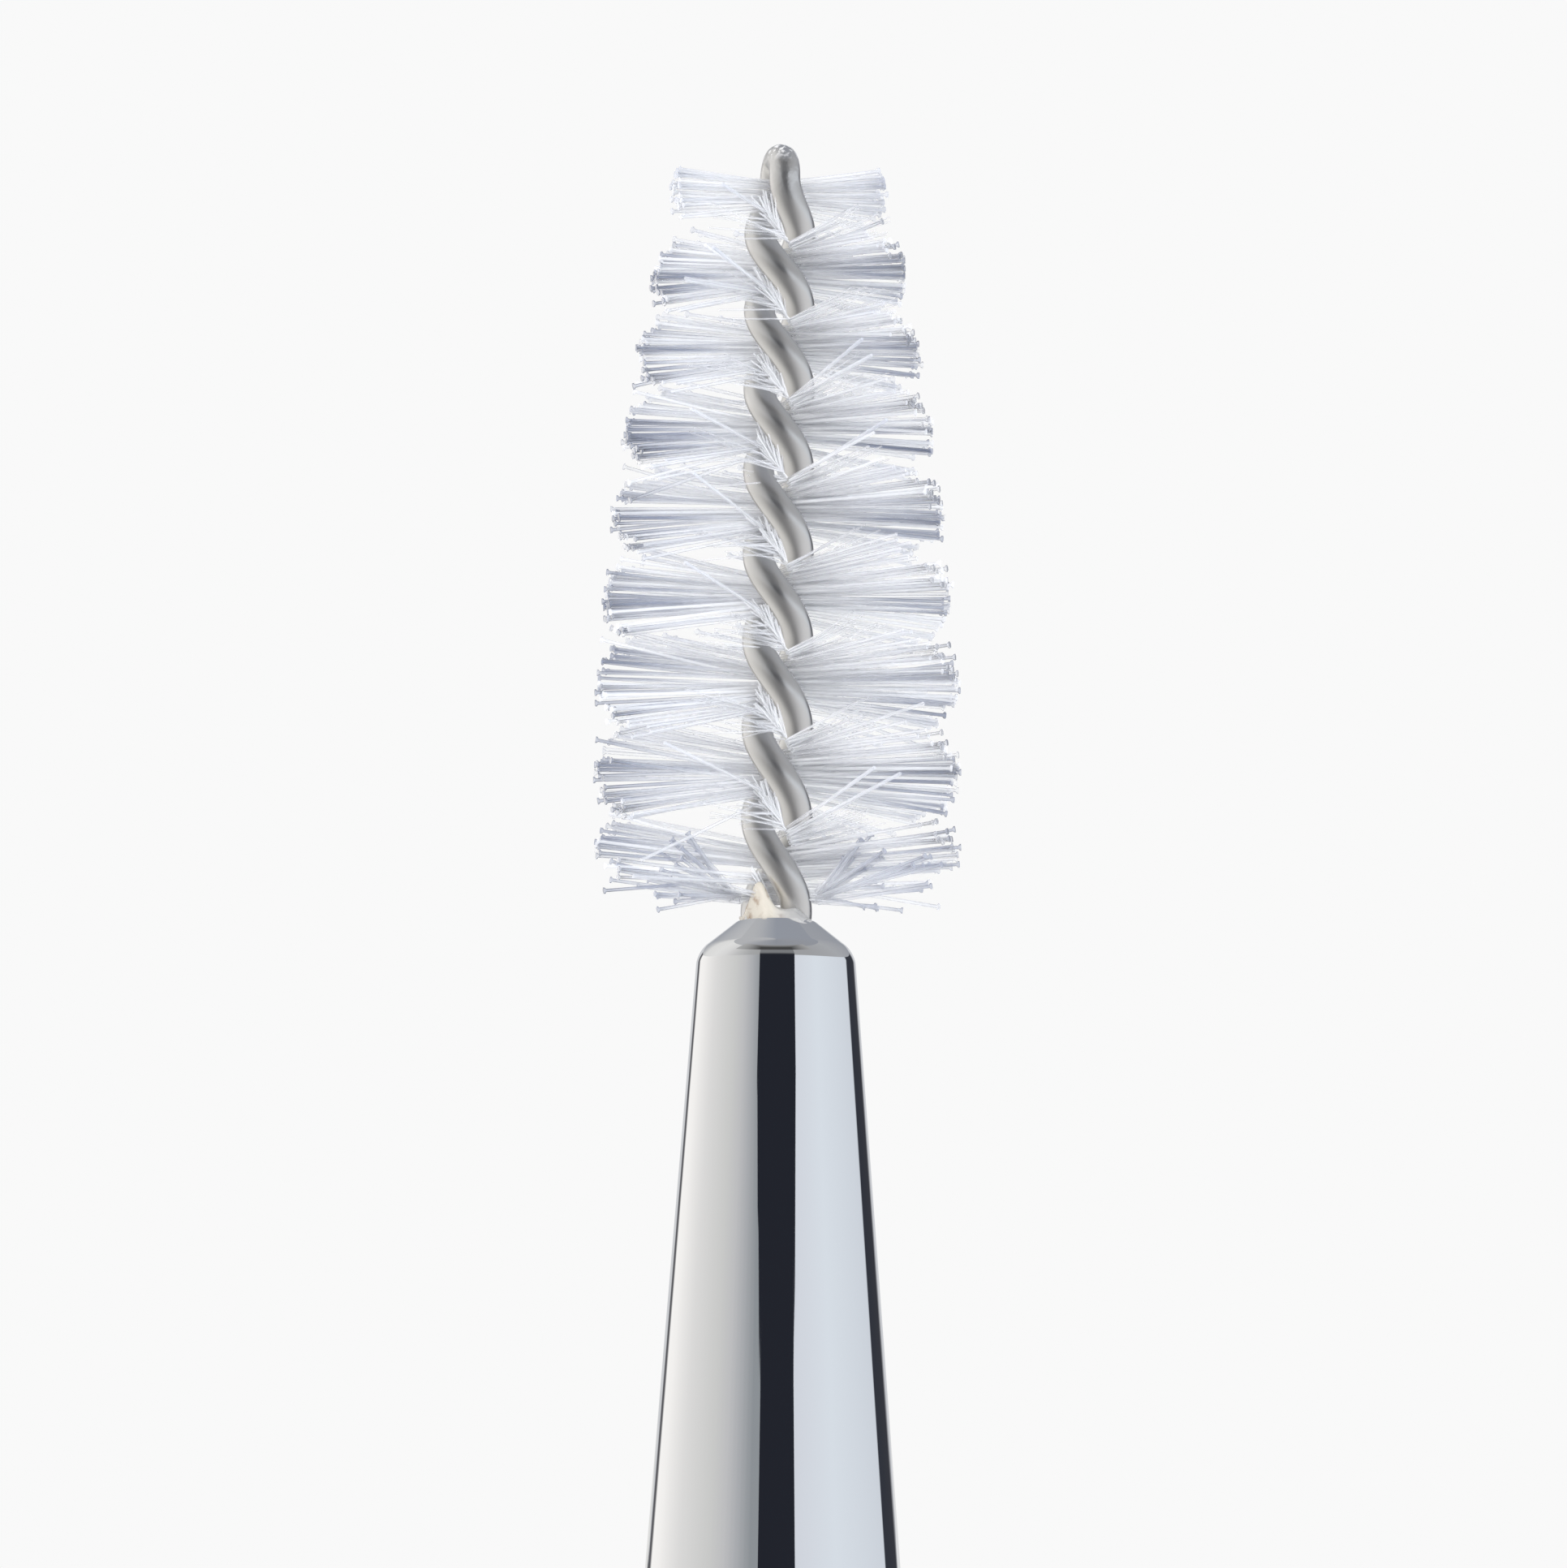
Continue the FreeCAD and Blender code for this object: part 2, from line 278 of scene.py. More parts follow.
links.new(grain.outputs["Fac"], pits.inputs["Value"])
links.new(crown.outputs["Result"], frosted.inputs[0])
links.new(pits.outputs["Result"], frosted.inputs[1])
links.new(frosted.outputs["Value"], polish.inputs[1])
links.new(polish.outputs["Value"], nodes["Principled BSDF"].inputs["Metallic"])
links.new(marks.outputs["Roughness"], nodes["Principled BSDF"].inputs["Roughness"])
twisted_wire.data.materials.append(drawn_steel)
twisted_wire.visible_glossy = False
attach(twisted_wire, "root")
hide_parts("wire_core")


# Bristles
# Clear nylon filaments, laid through the fold before it was twisted and then trimmed to a bullet.
# Each one is a thin rod, slightly bowed. The hot trimming blade has flared the ends that it cut,
# and the twisting has crazed the nylon near the wire.
filament_r = 0.000037
rod_length = 0.004
trim_r = 0.0039
trim_tip_r = 0.00215
trim_shoulder = 0.012
flare_length = 0.00006
front_facing = 0.72
crown_depth = 0.002
top_fan = 0.0007
foot_fan = 0.0012
thin_foot = 0.0014
filament_count = 1120
veil_count = 1900
random.seed(4)


def trim_radius(z):
    """Radius of the trimmed bristles at height z."""
    above = (z - (tip_z - trim_shoulder)) / trim_shoulder
    return trim_r - (trim_r - trim_tip_r) * max(above, 0) ** 1.5


def rod(sides, radius, heights):
    """Points and faces of one straight rod along Z, with a ring at each of the heights."""
    start_piece()
    bpy.ops.mesh.primitive_circle_add(vertices=sides, radius=radius, fill_type="NGON")
    made = bpy.context.object
    bpy.ops.object.mode_set(mode="EDIT")
    extrude_rings([(height, radius) for height in heights])
    bpy.ops.mesh.select_all(action="SELECT")
    bpy.ops.mesh.normals_make_consistent(inside=False)
    bpy.ops.object.mode_set(mode="OBJECT")
    rod_points = [v.co.copy() for v in made.data.vertices]
    rod_faces = [tuple(face.vertices) for face in made.data.polygons]
    bpy.data.objects.remove(made)
    return rod_points, rod_faces


shaft_end = rod_length - flare_length
head = [shaft_end, rod_length - flare_length / 2, rod_length]
flared_rod = rod(6, filament_r, [0.0, 0.0015, 0.003] + head)
plain_rod = rod(6, filament_r, [0.0, 0.002, rod_length])
top_row = fold_z - 0.00005
bottom_row = mouth_z + 0.0004
points, faces, greyings, crazed = [], [], [], []


def add_filament(root, ahead, length, bow, flare, greying, craze, thick=1.0):
    """Lays a copy of the rod from root along ahead. Greying and craze run from root to end."""
    beside = ahead.cross(Vector((0, 0, 1))).normalized()
    up = beside.cross(ahead)
    turn = random.uniform(0, math.pi)
    first = len(points)
    rod_points, rod_faces = plain_rod if flare == 1.0 else flared_rod
    for p in rod_points:
        along = p.z * length / rod_length
        wide = thick
        if flare != 1.0 and p.z > shaft_end - 1e-7:
            along = length - (rod_length - p.z)
        if p.z > shaft_end + 1e-7:
            wide = thick * flare
        across = beside * (p.x * math.cos(turn) - p.y * math.sin(turn))
        across += up * (p.x * math.sin(turn) + p.y * math.cos(turn))
        points.append(root + ahead * along + across * wide + bow * (along / length) ** 2)
        greyings.append(greying[0] + (greying[1] - greying[0]) * (along / length) ** 2)
        crazed.append(craze[0] + (craze[1] - craze[0]) * along / length)
    faces.extend(tuple(first + i for i in face) for face in rod_faces)


def trimmed(z, lean):
    """Length at which a filament from height z, leaning up, meets the trimmed surface."""
    radius = trim_radius(z)
    for _ in range(3):
        radius = trim_radius(z + radius * math.tan(lean))
    return radius / math.cos(lean)


def pointing(along, lean):
    """Direction at angle along about the axis, leaning up by lean."""
    flat = math.cos(lean)
    return Vector((math.cos(along) * flat, math.sin(along) * flat, math.sin(lean)))


def share_kept(from_front, on_right):
    """Share of the filaments that stay: most at the sides, and few in front and at the back."""
    beside = 0.65 if on_right else 0.45
    for limit, share in ((30, 0.0), (44, 0.1), (60, beside), (72, 0.85), (114, 1.0), (132, 0.6)):
        if from_front < limit:
            return share
    return 0.15


for i in range(filament_count):
    z = bottom_row + (top_row - bottom_row) * (i + random.random()) / filament_count
    near_top = max(0, 1 - (top_row - z) / top_fan)
    for side in (1, -1):
        along = strand_angle(z) + side * math.pi / 2 + math.radians(random.gauss(0, 6))
        toward = -math.sin(along)
        from_front = math.degrees(math.acos(toward))
        on_right = math.cos(along) > 0
        kept = share_kept(from_front, on_right)
        if z > tip_z - crown_depth:
            kept *= 0.8
        if z < bottom_row + thin_foot:
            kept *= 0.6
        if random.random() > kept:
            continue
        near_foot = max(0, 1 - (z - bottom_row) / foot_fan)
        if toward > front_facing:
            lean = random.gauss(12, 4)
        elif on_right:
            lean = 5 * toward
        else:
            lean = max(-24 * toward, -13) if toward > 0 else min(-24 * toward, 13)
        lean += random.gauss(0, 1.6) + 9 * near_top + 16 * near_foot
        if random.random() < 0.04 and near_top == 0:
            lean += random.choice((-1, 1)) * random.uniform(6, 16)
        lean = math.radians(lean)
        length = trimmed(z, lean) * random.uniform(0.97, 1.0)
        offset = random.uniform(-0.00005, 0.00005)
        root = Vector((-math.sin(along) * offset, math.cos(along) * offset, z))
        bow = Vector([random.gauss(0, 0.00004) for _ in range(3)])
        flare = 1 + min(1, max(0, (from_front - 50) / 15))
        # Painted shade: a rod is greyed at random towards its end, most in each tier's lower rows
        darkest = 96 if on_right else 84
        shaded = math.exp(-(((from_front - darkest) / 20) ** 2))
        greying = random.random() * (0.6 + 2.0 * shaded)
        root_grey = 0
        craze = (0.8, 0.0)
        if toward > front_facing:
            craze = (0.4, 0.8)
        elif toward > 0.5 or from_front > 114:
            craze = (0.15, 0.5)
            root_grey = 0.05
            greying = random.uniform(0.1, 0.4)
        elif z > tip_z - crown_depth:
            craze = (0.35, 0.6)
            greying *= 0.3
        elif random.random() < 0.2:
            craze = (0.8, 0.9)
            greying = 0.0
        add_filament(root, pointing(along, lean), length, bow, flare, (root_grey, greying), craze)

# The lowest are squeezed out between the strands and splay from a hub on each side, in groups
# given by their number, their lean in degrees and their length
splayed_groups = (
    (5, (-16, 3), (0.0008, 0.0022)),
    (9, (3, 18), (0.0018, 0.003)),
    (16, (14, 52), (0.001, 0.002)),
)
hub_out, hub_ahead, hub_rise = 0.00086, -0.00025, 0.00012
straight = Vector((0, 0, 0))
for side in (1, -1):
    hub = Vector((side * hub_out, hub_ahead, bottom_row + hub_rise))
    for count, leans, lengths in splayed_groups:
        for _ in range(count):
            lean = math.radians(random.uniform(*leans))
            length = random.uniform(*lengths)
            along = side * math.radians(random.uniform(-35, 35))
            if side < 0:
                along += math.pi
            jitter = Vector([random.gauss(0, 0.00006) for _ in range(3)])
            bow = Vector([random.gauss(0, 0.00002) for _ in range(3)])
            ahead = pointing(along, lean)
            add_filament(hub + jitter, ahead, length, bow, 1.9, (0.2, 0.9), (0.5, 0.3))
            inner = Vector((0, 0, bottom_row + 0.0004 * random.random()))
            link = hub + jitter - inner
            ahead = link.normalized()
            add_filament(inner, ahead, link.length, straight, 1.0, (0.0, 0.0), (0.8, 0.8), 0.7)

# Finer ones, crazed by the twisting, come out of the gap between the strands where it passes the
# front: a wedge of short steep ones and longer ones to the left, and lower down some to the right.
# Their place below the crossing is counted in half turns of the wire, from -0.5 to 0.5
wedge_top, wedge_foot, fan_foot = -0.17, 0.15, 0.48
for i in range(veil_count):
    z = bottom_row + (top_row - bottom_row) * i / veil_count
    below = half_turns(z) % 1 - 0.5
    if wedge_top < below < wedge_foot:
        kind = random.choice(("wedge", "wedge", "wedge", "left"))
    elif wedge_foot <= below < fan_foot:
        kind = "right"
    else:
        continue
    gap = math.radians(below * 180)
    root = pointing(gap - math.pi / 2, 0) * random.uniform(0.00032, 0.0005)
    root.z = z
    root_grey = random.uniform(0.0, 0.15)
    far_craze = 0.1
    if kind == "wedge":
        steep = math.radians(random.uniform(42, 80))
        ahead = Vector((-math.cos(steep), -0.12, math.sin(steep))).normalized()
        length = random.uniform(0.0003, 0.00072)
        root_grey *= 0.3
        far_craze = 0.7
    elif kind == "left":
        lean = 9 + random.gauss(0, 8)
        aside = random.uniform(60, 88)
        ahead = pointing(-math.pi / 2 - math.radians(aside), math.radians(lean))
        length = random.uniform(0.0006, 0.002)
    else:
        aside = max(58, below * 180 + random.uniform(15, 40))
        lean = 27 - 50 * below + random.gauss(0, 3)
        ahead = pointing(-math.pi / 2 + math.radians(aside), math.radians(lean))
        length = random.uniform(0.0006, 0.0023)
    bow = Vector([random.gauss(0, 0.00004) for _ in range(3)])
    add_filament(root, ahead, length, bow, 1.0, (root_grey, root_grey), (0.9, far_craze), 0.55)

brush_mesh = bpy.data.meshes.new("nylon_filaments")
brush_mesh.from_pydata(points, [], faces)
brush_mesh.attributes.new("grey_and_density", "FLOAT", "POINT").data.foreach_set("value", greyings)
brush_mesh.attributes.new("crazing", "FLOAT", "POINT").data.foreach_set("value", crazed)
nylon_filaments = bpy.data.objects.new("nylon_filaments", brush_mesh)
bpy.context.collection.objects.link(nylon_filaments)
start_piece()
nylon_filaments.select_set(True)
bpy.context.view_layer.objects.active = nylon_filaments
bpy.ops.object.shade_smooth_by_angle(angle=math.radians(62))
nylon_filaments.visible_glossy = False

# Clear through the middle of a rod, and denser along its edges, where one looks through more of it.
# Its colour is painted darker and bluer along the edges, a painted shade for the dark surroundings
# that a clear rod shows there. Greying, a painted shade most in each tier's lower rows, darkens and
# thickens the nylon towards its end, and crazing turns it milky.
clear_nylon = material("clear_nylon", Roughness=0.4, IOR=1.22)
nodes, links = clear_nylon.node_tree.nodes, clear_nylon.node_tree.links
shader = nodes["Principled BSDF"]
slant = nodes.new("ShaderNodeLayerWeight")
slant.inputs["Blend"].default_value = 0.5
grey_and_density = nodes.new("ShaderNodeAttribute")
grey_and_density.attribute_name = "grey_and_density"
crazing = nodes.new("ShaderNodeAttribute")
crazing.attribute_name = "crazing"
# Painted shade: the colour turns darker and bluer towards each rod's edges, for the dark
# surroundings that a clear rod shows there; crazing weakens it
rim = ramp(nodes, 0.3, 0.75, 0.0, 1.0)
cleared = ramp(nodes, 0.0, 1.0, 1.0, 0.2)
edge_shade = nodes.new("ShaderNodeMath")
edge_shade.operation = "MULTIPLY"
body = nodes.new("ShaderNodeMix")
body.data_type = "RGBA"
body.inputs["A"].default_value = (0.98, 0.985, 1.0, 1)
body.inputs["B"].default_value = (0.85, 0.875, 0.95, 1)
# Painted shade: a blue-grey mixed into the colour by the attribute's value
grey_share = ramp(nodes, 0.0, 1.0, 0.0, 0.82)
greyed = nodes.new("ShaderNodeMix")
greyed.data_type = "RGBA"
greyed.inputs["B"].default_value = (0.33, 0.37, 0.5, 1)
links.new(slant.outputs["Facing"], rim.inputs["Value"])
links.new(crazing.outputs["Fac"], cleared.inputs["Value"])
links.new(rim.outputs["Result"], edge_shade.inputs[0])
links.new(cleared.outputs["Result"], edge_shade.inputs[1])
links.new(edge_shade.outputs["Value"], body.inputs["Factor"])
links.new(body.outputs["Result"], greyed.inputs["A"])
links.new(grey_and_density.outputs["Fac"], grey_share.inputs["Value"])
links.new(grey_share.outputs["Result"], greyed.inputs["Factor"])
links.new(greyed.outputs["Result"], shader.inputs["Base Color"])
density = ramp(nodes, 0.15, 0.9, 0.33, 0.9)
thicker = ramp(nodes, 0.0, 1.0, 0.8, 1.6)
opacity = nodes.new("ShaderNodeMath")
opacity.operation = "MULTIPLY"
opacity.use_clamp = True
milk = ramp(nodes, 0.0, 1.0, 0.0, 0.6)
whitened = nodes.new("ShaderNodeMath")
whitened.operation = "MAXIMUM"
clarity = ramp(nodes, 0.0, 1.0, 0.85, 0.15)
links.new(slant.outputs["Facing"], density.inputs["Value"])
links.new(grey_and_density.outputs["Fac"], thicker.inputs["Value"])
links.new(density.outputs["Result"], opacity.inputs[0])
links.new(thicker.outputs["Result"], opacity.inputs[1])
links.new(crazing.outputs["Fac"], milk.inputs["Value"])
links.new(opacity.outputs["Value"], whitened.inputs[0])
links.new(milk.outputs["Result"], whitened.inputs[1])
links.new(whitened.outputs["Value"], shader.inputs["Alpha"])
links.new(crazing.outputs["Fac"], clarity.inputs["Value"])
links.new(clarity.outputs["Result"], shader.inputs["Transmission Weight"])
nylon_filaments.data.materials.append(clear_nylon)
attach(nylon_filaments, "root")
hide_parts("bristles")


# Adhesive
# A drop of adhesive holds the stem in the bore. It has cured to a lumpy amber collar at the mouth.
# It fills the gap between the strands there and creeps a little way up the wire.
bead_r = 0.00076
bead_flatness = 0.4
lump_x, lump_y = -0.00036, -0.00046
lump_r = 0.00024
lump_height = 0.00062
drip_angle = math.radians(-52)
drip_out = 0.00024
drip_height = 0.0003
start_piece()
bpy.ops.mesh.primitive_uv_sphere_add(
    segments=64, ring_count=40, radius=bead_r, location=(0, 0, mouth_z)
)
adhesive_bead = bpy.context.object
adhesive_bead.name = "adhesive_bead"
bpy.ops.object.transform_apply(location=True, rotation=True, scale=True)
for v in adhesive_bead.data.vertices:
    rise = v.co.z - mouth_z
    grain = noise.noise(v.co * 2600) * 0.00008 + noise.noise(v.co * 7000) * 0.00003
    aside = math.hypot(v.co.x - lump_x, v.co.y - lump_y) / lump_r
    around = math.atan2(v.co.y, v.co.x) - drip_angle
    out = Vector((v.co.x, v.co.y, 0))
    v.co.z = mouth_z + rise * bead_flatness + grain * (1 if rise > 0 else 0)
    if rise > 0:
        v.co.z += lump_height * math.exp(-(aside**2))
    if out.length > 1e-6:
        drip = drip_out * math.exp(-((around / 0.42) ** 2))
        drip *= math.exp(-((rise / drip_height) ** 2))
        v.co += out.normalized() * (grain + drip)
        v.co.z -= 0.55 * drip
bpy.ops.object.shade_smooth()

amber_adhesive = material(
    "amber_adhesive",
    Base_Color=(0.62, 0.54, 0.44, 1.0),
    Roughness=0.25,
    IOR=1.5,
)
nodes, links = amber_adhesive.node_tree.nodes, amber_adhesive.node_tree.links
place = nodes.new("ShaderNodeTexCoord")
cloud = nodes.new("ShaderNodeTexNoise")
cloud.inputs["Scale"].default_value = 3500.0
cloud.inputs["Detail"].default_value = 6.0
stain = nodes.new("ShaderNodeValToRGB")
stain.color_ramp.elements[0].position = 0.3
stain.color_ramp.elements[0].color = (0.3, 0.2, 0.13, 1)
stain.color_ramp.elements[1].position = 0.48
stain.color_ramp.elements[1].color = (0.68, 0.63, 0.54, 1)
split = nodes.new("ShaderNodeSeparateXYZ")
clearer = ramp(nodes, -0.0001, 0.0003, 0.0, 1.0)
blend = nodes.new("ShaderNodeMix")
blend.data_type = "RGBA"
blend.inputs["B"].default_value = (0.85, 0.84, 0.82, 1)
clarity = ramp(nodes, -0.0001, 0.0003, 0.15, 0.55)
links.new(place.outputs["Object"], cloud.inputs["Vector"])
links.new(place.outputs["Object"], split.inputs["Vector"])
links.new(split.outputs["X"], clearer.inputs["Value"])
links.new(cloud.outputs["Fac"], stain.inputs["Fac"])
links.new(stain.outputs["Color"], blend.inputs["A"])
links.new(clearer.outputs["Result"], blend.inputs["Factor"])
links.new(blend.outputs["Result"], nodes["Principled BSDF"].inputs["Base Color"])
links.new(split.outputs["X"], clarity.inputs["Value"])
links.new(clarity.outputs["Result"], nodes["Principled BSDF"].inputs["Transmission Weight"])
adhesive_bead.data.materials.append(amber_adhesive)
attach(adhesive_bead, "root")
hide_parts("adhesive")


# Studio
# A pale floor and background, two softboxes, and a paper tube of cards that only reflections see:
# a warm panel on the left, a cool one on the right, and black flags in front and behind.
pale = (0.947, 0.947, 0.947, 1.0)

start_piece()
bpy.ops.mesh.primitive_plane_add(size=6.0, location=(0, 0, 0))
floor = bpy.context.object
floor.name = "floor"

# The floor is painted greyer where the lamps' pool falls on it, a painted shade that keeps it below
# white there, but the light that it throws up at the brush is that of a pale floor
floor_paint = material("floor_paint", Roughness=0.8)
nodes, links = floor_paint.node_tree.nodes, floor_paint.node_tree.links
place = nodes.new("ShaderNodeTexCoord")
far = nodes.new("ShaderNodeVectorMath")
far.operation = "LENGTH"
pool = ramp(nodes, 0.3, 2.8, 0.0, 1.0)
toned = nodes.new("ShaderNodeMix")
toned.data_type = "RGBA"
toned.inputs["A"].default_value = (0.64, 0.63, 0.61, 1)
toned.inputs["B"].default_value = (0.88, 0.86, 0.82, 1)
sight = nodes.new("ShaderNodeLightPath")
looked_at = nodes.new("ShaderNodeMath")
looked_at.operation = "MAXIMUM"
shown = nodes.new("ShaderNodeMix")
shown.data_type = "RGBA"
shown.inputs["A"].default_value = (0.9, 0.9, 0.9, 1)
links.new(place.outputs["Object"], far.inputs[0])
links.new(far.outputs["Value"], pool.inputs["Value"])
links.new(pool.outputs["Result"], toned.inputs["Factor"])
links.new(toned.outputs["Result"], shown.inputs["B"])
links.new(sight.outputs["Is Camera Ray"], looked_at.inputs[0])
links.new(sight.outputs["Is Glossy Ray"], looked_at.inputs[1])
links.new(looked_at.outputs["Value"], shown.inputs["Factor"])
links.new(shown.outputs["Result"], nodes["Principled BSDF"].inputs["Base Color"])
floor.data.materials.append(floor_paint)


def reflected_only(obj):
    """A card that shows in reflections and nowhere else."""
    obj.visible_camera = False
    obj.visible_diffuse = False
    obj.visible_transmission = False
    obj.visible_volume_scatter = False
    obj.visible_shadow = False


def glow(name):
    """A plain emitting material, and its emission node."""
    made = bpy.data.materials.new(name)
    made.use_nodes = True
    made.node_tree.nodes.clear()
    light = made.node_tree.nodes.new("ShaderNodeEmission")
    out = made.node_tree.nodes.new("ShaderNodeOutputMaterial")
    made.node_tree.links.new(light.outputs["Emission"], out.inputs["Surface"])
    return made, light


def painted_paper(name, tones):
    """Glowing paper painted round the brush in tones (degrees right of the front, colour)."""
    paper, light = glow(name)
    nodes, links = paper.node_tree.nodes, paper.node_tree.links
    place = nodes.new("ShaderNodeTexCoord")
    split = nodes.new("ShaderNodeSeparateXYZ")
    flip = nodes.new("ShaderNodeMath")
    flip.operation = "MULTIPLY"
    flip.inputs[1].default_value = -1.0
    around = nodes.new("ShaderNodeMath")
    around.operation = "ARCTAN2"
    share = ramp(nodes, -math.pi, math.pi, 0.0, 1.0)
    panels = nodes.new("ShaderNodeValToRGB")
    elements = panels.color_ramp.elements
    elements[0].color = (*tones[0][1], 1)
    elements[1].color = (*tones[-1][1], 1)
    for degrees, tone in tones[1:-1]:
        elements.new((degrees + 180) / 360).color = (*tone, 1)
    links.new(place.outputs["Object"], split.inputs["Vector"])
    links.new(split.outputs["Y"], flip.inputs[0])
    links.new(split.outputs["X"], around.inputs[0])
    links.new(flip.outputs["Value"], around.inputs[1])
    links.new(around.outputs["Value"], share.inputs["Value"])
    links.new(share.outputs["Result"], panels.inputs["Fac"])
    links.new(panels.outputs["Color"], light.inputs["Color"])
    return paper


tube_r = 0.25


def card_tube(name, low, high, paper):
    """A tube of paper round the brush."""
    start_piece()
    bpy.ops.mesh.primitive_cylinder_add(
        vertices=256,
        radius=tube_r,
        depth=high - low,
        end_fill_type="NOTHING",
        location=(0, 0, (low + high) / 2),
    )
    tube = bpy.context.object
    tube.name = name
    bpy.ops.object.transform_apply(location=True, rotation=True, scale=True)
    tube.data.materials.append(paper)
    reflected_only(tube)


def card_disc(name, height, paper):
    """A disc of paper that closes the tube."""
    start_piece()
    bpy.ops.mesh.primitive_circle_add(
        vertices=256, radius=tube_r, fill_type="TRIFAN", location=(0, 0, height)
    )
    disc = bpy.context.object
    disc.name = name
    bpy.ops.object.transform_apply(location=True, rotation=True, scale=True)
    disc.data.materials.append(paper)
    reflected_only(disc)


wall_paper = painted_paper(
    "wall_paper",
    [
        (-180, (0.62, 0.63, 0.65)),
        (-156, (0.62, 0.63, 0.65)),
        (-153, (0.1, 0.1, 0.11)),
        (-147, (0.1, 0.1, 0.11)),
        (-143, (0.97, 0.95, 0.93)),
        (-127, (0.94, 0.92, 0.90)),
        (-95, (0.75, 0.74, 0.73)),
        (-60, (0.62, 0.62, 0.61)),
        (-45, (0.54, 0.54, 0.55)),
        (-33, (0.42, 0.43, 0.45)),
        (-20, (0.28, 0.3, 0.32)),
        (0, (0.28, 0.3, 0.32)),
        (10, (0.66, 0.68, 0.74)),
        (60, (0.72, 0.77, 0.83)),
        (123, (0.64, 0.68, 0.74)),
        (125, (0.032, 0.036, 0.048)),
        (151, (0.04, 0.042, 0.052)),
        (160, (0.62, 0.63, 0.66)),
        (180, (0.62, 0.63, 0.65)),
    ],
)
low_paper = painted_paper(
    "low_paper",
    [
        (-180, (0.76, 0.76, 0.75)),
        (-158, (0.76, 0.76, 0.75)),
        (-156, (0.06, 0.062, 0.07)),
        (-145, (0.06, 0.062, 0.07)),
        (-143, (0.78, 0.77, 0.75)),
        (-135, (0.78, 0.77, 0.75)),
        (-105, (0.7, 0.69, 0.67)),
        (-75, (0.55, 0.545, 0.53)),
        (-45, (0.29, 0.29, 0.29)),
        (-25, (0.18, 0.18, 0.185)),
        (5, (0.2, 0.2, 0.205)),
        (30, (0.42, 0.42, 0.43)),
        (60, (0.62, 0.625, 0.64)),
        (105, (0.7, 0.705, 0.72)),
        (123, (0.66, 0.68, 0.72)),
        (125, (0.032, 0.036, 0.048)),
        (151, (0.04, 0.042, 0.052)),
        (154, (0.72, 0.725, 0.74)),
        (180, (0.76, 0.76, 0.76)),
    ],
)
high_paper = painted_paper(
    "high_paper",
    [
        (-180, (0.3, 0.32, 0.365)),
        (-165, (0.36, 0.375, 0.41)),
        (-150, (0.5, 0.505, 0.52)),
        (-135, (0.74, 0.735, 0.725)),
        (-105, (0.78, 0.775, 0.765)),
        (-85, (0.72, 0.715, 0.71)),
        (-60, (0.53, 0.53, 0.53)),
        (-40, (0.4, 0.405, 0.41)),
        (-15, (0.34, 0.345, 0.35)),
        (60, (0.36, 0.365, 0.38)),
        (110, (0.4, 0.41, 0.43)),
        (140, (0.36, 0.37, 0.4)),
        (160, (0.32, 0.335, 0.37)),
        (180, (0.3, 0.32, 0.365)),
    ],
)
lid_paper = painted_paper(
    "lid_paper",
    [
        (-180, (0.3, 0.32, 0.365)),
        (-165, (0.36, 0.375, 0.41)),
        (-150, (0.46, 0.465, 0.48)),
        (-90, (0.46, 0.465, 0.48)),
        (-45, (0.34, 0.35, 0.38)),
        (0, (0.28, 0.295, 0.33)),
        (60, (0.3, 0.31, 0.34)),
        (180, (0.3, 0.32, 0.365)),
    ],
)
card_disc("low_disc", 0.001, low_paper)
card_tube("low_tube", 0.001, 0.12, low_paper)
card_tube("wall_tube", 0.12, 0.19, wall_paper)
card_tube("high_tube", 0.19, 0.46, high_paper)
card_disc("high_disc", 0.46, lid_paper)


def curved_card(name, radius, edges):
    """A card bent round the brush, from its edges (height, degrees right of the front) by row."""
    rows = len(edges) - 1
    start_piece()
    bpy.ops.mesh.primitive_grid_add(x_subdivisions=32, y_subdivisions=rows, size=1.0)
    card = bpy.context.object
    card.name = name
    for v in card.data.vertices:
        height, left_edge, right_edge = edges[round((v.co.y + 0.5) * rows)]
        turned = math.radians(left_edge + (right_edge - left_edge) * (v.co.x + 0.5))
        v.co = (radius * math.sin(turned), -radius * math.cos(turned), height)
    reflected_only(card)
    return card


# The black flag in front is wider higher up, so that the taper shows it straight, and turns grey
# above that
flag = curved_card(
    "front_flag",
    0.2,
    [(0.112, -13.5, 21.0), (0.1507, -13.5, 21.0), (0.1636, -23.7, 27.2), (0.32, -27.0, 30.0)],
)
black_cloth, light = glow("black_cloth")
nodes, links = black_cloth.node_tree.nodes, black_cloth.node_tree.links
place = nodes.new("ShaderNodeTexCoord")
split = nodes.new("ShaderNodeSeparateXYZ")
faded = ramp(nodes, 0.18, 0.22, 0.0, 1.0)
dyed = nodes.new("ShaderNodeMix")
dyed.data_type = "RGBA"
dyed.inputs["A"].default_value = (0.017, 0.019, 0.027, 1)
dyed.inputs["B"].default_value = (0.2, 0.205, 0.215, 1)
links.new(place.outputs["Object"], split.inputs["Vector"])
links.new(split.outputs["Z"], faded.inputs["Value"])
links.new(faded.outputs["Result"], dyed.inputs["Factor"])
links.new(dyed.outputs["Result"], light.inputs["Color"])
flag.data.materials.append(black_cloth)

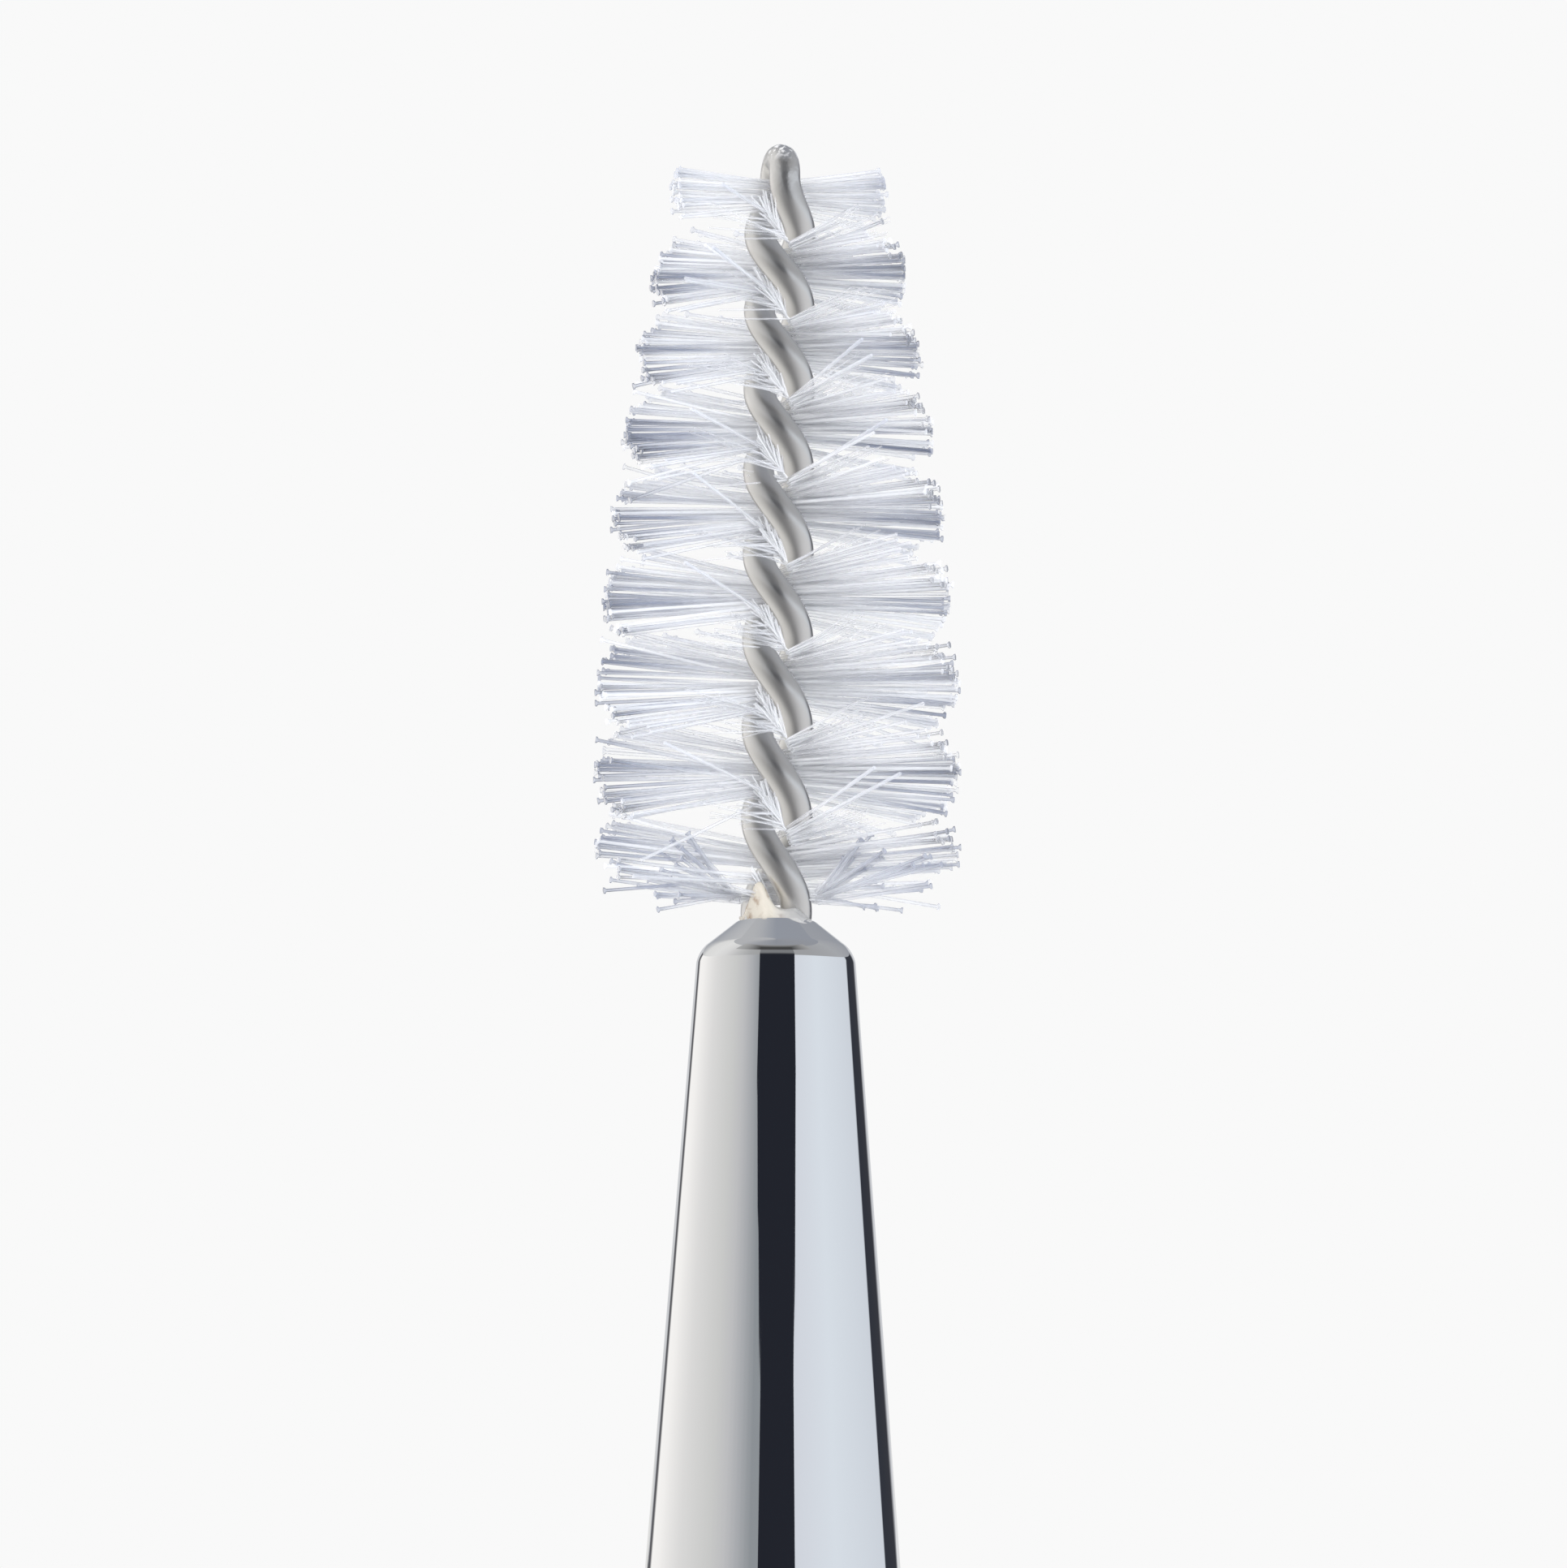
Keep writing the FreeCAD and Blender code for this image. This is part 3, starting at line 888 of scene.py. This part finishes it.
# A strip of grey cloth under the lid, paler to both sides and upwards
strip = curved_card("shade_strip", 0.19, [(0.28, -75.0, 65.0), (0.445, -75.0, 65.0)])
grey_cloth, light = glow("grey_cloth")
nodes, links = grey_cloth.node_tree.nodes, grey_cloth.node_tree.links
place = nodes.new("ShaderNodeTexCoord")
split = nodes.new("ShaderNodeSeparateXYZ")
aside = nodes.new("ShaderNodeMath")
aside.operation = "ABSOLUTE"
sideways = ramp(nodes, 0.09, 0.185, 0.0, 1.0)
upwards = ramp(nodes, 0.345, 0.445, 0.0, 0.65)
paler = nodes.new("ShaderNodeMath")
paler.operation = "MAXIMUM"
fade = ramp(nodes, 0.0, 1.0, 0.06, 0.42)
links.new(place.outputs["Object"], split.inputs["Vector"])
links.new(split.outputs["X"], aside.inputs[0])
links.new(split.outputs["Z"], upwards.inputs["Value"])
links.new(aside.outputs["Value"], sideways.inputs["Value"])
links.new(sideways.outputs["Result"], paler.inputs[0])
links.new(upwards.outputs["Result"], paler.inputs[1])
links.new(paler.outputs["Value"], fade.inputs["Value"])
links.new(fade.outputs["Result"], light.inputs["Color"])
strip.data.materials.append(grey_cloth)

world = bpy.data.worlds.new("studio")
bpy.context.scene.world = world
world.use_nodes = True
nodes, links = world.node_tree.nodes, world.node_tree.links
nodes.clear()
seen = nodes.new("ShaderNodeLightPath")
either = nodes.new("ShaderNodeMath")
either.operation = "MAXIMUM"
backdrop = nodes.new("ShaderNodeBackground")
backdrop.inputs["Color"].default_value = pale
ambient = nodes.new("ShaderNodeBackground")
ambient.inputs["Color"].default_value = (0.925, 0.947, 1.0, 1.0)
ambient.inputs["Strength"].default_value = 1.19
choose = nodes.new("ShaderNodeMixShader")
out = nodes.new("ShaderNodeOutputWorld")
links.new(seen.outputs["Is Camera Ray"], either.inputs[0])
links.new(seen.outputs["Is Transmission Ray"], either.inputs[1])
links.new(either.outputs["Value"], choose.inputs["Fac"])
links.new(ambient.outputs["Background"], choose.inputs[1])
links.new(backdrop.outputs["Background"], choose.inputs[2])
links.new(choose.outputs["Shader"], out.inputs["Surface"])

for name, spot, size, power, colour in (
    ("key_softbox", (-0.45, -0.5, 0.5), 0.4, 2.6, (1.0, 0.97, 0.93)),
    ("fill_softbox", (0.5, -0.35, 0.3), 0.4, 1.6, (0.9, 0.95, 1.0)),
):
    start_piece()
    bpy.ops.object.light_add(type="AREA", location=spot)
    lamp = bpy.context.object
    lamp.name = name
    lamp.data.shape = "SQUARE"
    lamp.data.size = size
    lamp.data.energy = power
    lamp.data.color = colour
    aim = Vector((0, 0, 0.11)) - Vector(spot)
    lamp.rotation_euler = aim.to_track_quat("-Z", "Y").to_euler()
    lamp.visible_glossy = False

# Camera: a long lens, a little below the head and looking up at it, as the photograph was taken
rise = math.radians(8.0)
roll = math.radians(0.3)
reach = 0.3
film_width = 36.0
photo_width = 1931
pixels_per_metre = 57560
aimed_at = Vector((0.00014, 0, 0.1061))
ahead = Vector((0, math.cos(rise), math.sin(rise)))
start_piece()
bpy.ops.object.camera_add(location=aimed_at - reach * ahead)
camera = bpy.context.object
camera.name = "camera"
camera.data.sensor_width = film_width
camera.data.lens = film_width * reach / (photo_width / pixels_per_metre)
camera.data.clip_start = 0.01
camera.data.clip_end = 20.0
aim = ahead.to_track_quat("-Z", "Y") @ Quaternion((0, 0, 1), roll)
camera.rotation_euler = aim.to_euler()
bpy.context.scene.camera = camera
bpy.context.scene.view_settings.view_transform = "Standard"
